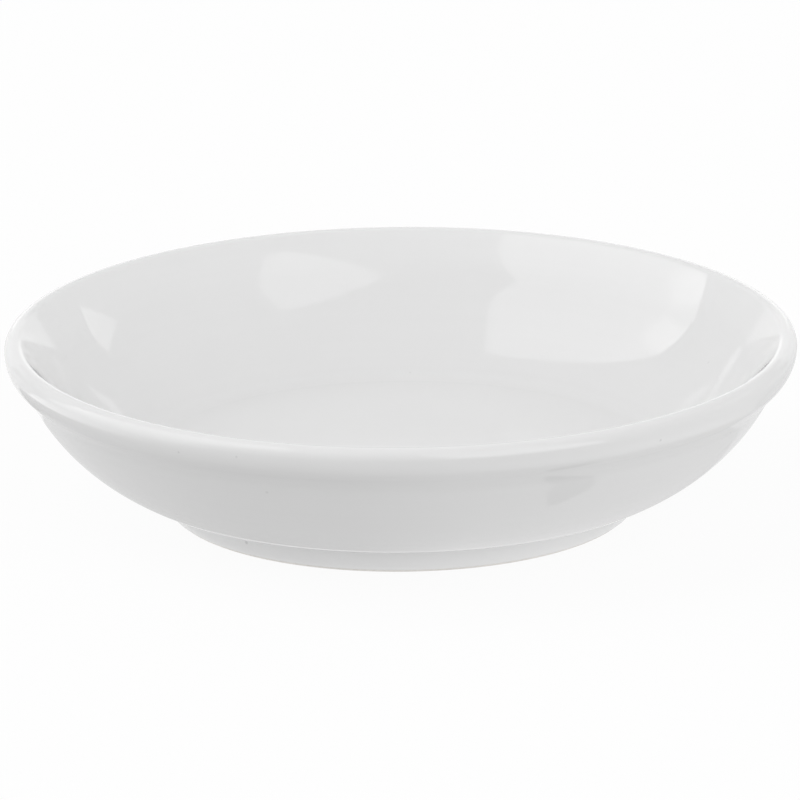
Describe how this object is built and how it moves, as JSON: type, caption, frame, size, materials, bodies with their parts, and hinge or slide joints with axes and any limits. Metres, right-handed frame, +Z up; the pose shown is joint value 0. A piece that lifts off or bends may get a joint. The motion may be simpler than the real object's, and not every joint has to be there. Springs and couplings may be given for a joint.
{
  "type": "soy sauce dish",
  "caption": "Small shallow round dish of white glazed ceramic with a rolled rim, curved side, flat floor and bare foot ring, for serving soy sauce or other dips.",
  "frame": {"origin": "centre of the plane that the foot ring rests on", "axes": "+Z up along the dish's axis of turning; the dish is round, so X and Y are free, and -Y faces the viewer of the picture"},
  "size_m": [0.1, 0.1, 0.0222],
  "materials": {
    "bare_clay": "matte",
    "white_glaze": "gloss"
  },
  "bodies": {
    "root": {"ceramic_body": "bare_clay", "glaze_coat": "white_glaze", "foot_well_glaze": "white_glaze"}
  },
  "joints": []
}
